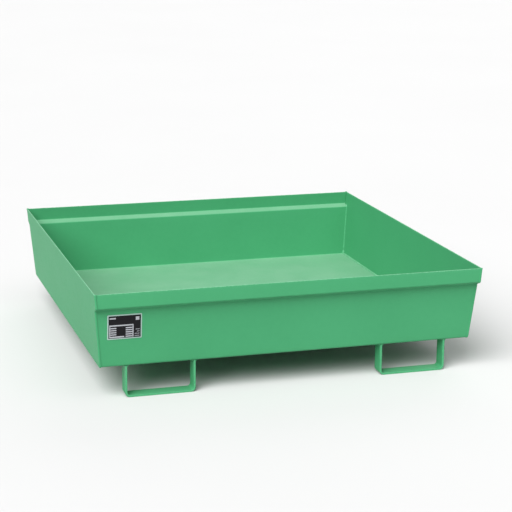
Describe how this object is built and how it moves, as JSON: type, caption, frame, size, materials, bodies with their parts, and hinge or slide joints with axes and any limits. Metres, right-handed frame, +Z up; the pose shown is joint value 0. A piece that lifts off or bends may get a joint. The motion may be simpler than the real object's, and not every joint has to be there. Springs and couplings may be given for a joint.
{
  "type": "spill containment pallet",
  "caption": "Open square sheet-steel sump tray with sloping ledges for a grating, green coating, standing on bent flat-bar stirrup feet that also take forks.",
  "frame": {"origin": "on the ground, under the middle of the tray", "axes": "+Z up; X along the front, +X to the right seen from the front; +Y from the front to the rear"},
  "size_m": [1.2004, 1.203, 0.33],
  "materials": {
    "green_coating": "smooth powder coating, satin",
    "type_plate": "thin printed plate, black field in a silver border"
  },
  "bodies": {
    "root": {"pan_sheet": "green_coating", "end_plate_left": "green_coating", "end_plate_right": "green_coating", "corner_weld_left": "green_coating", "corner_weld_right": "green_coating", "inner_weld_left": "green_coating", "inner_weld_right": "green_coating", "foot_front_left": "green_coating", "foot_front_right": "green_coating", "foot_rear_left": "green_coating", "foot_rear_right": "green_coating", "foot_weld_front_left_outer": "green_coating", "foot_weld_front_left_inner": "green_coating", "foot_weld_front_right_outer": "green_coating", "foot_weld_front_right_inner": "green_coating", "foot_weld_rear_left_outer": "green_coating", "foot_weld_rear_left_inner": "green_coating", "foot_weld_rear_right_outer": "green_coating", "foot_weld_rear_right_inner": "green_coating", "type_plate": "type_plate"}
  },
  "joints": []
}
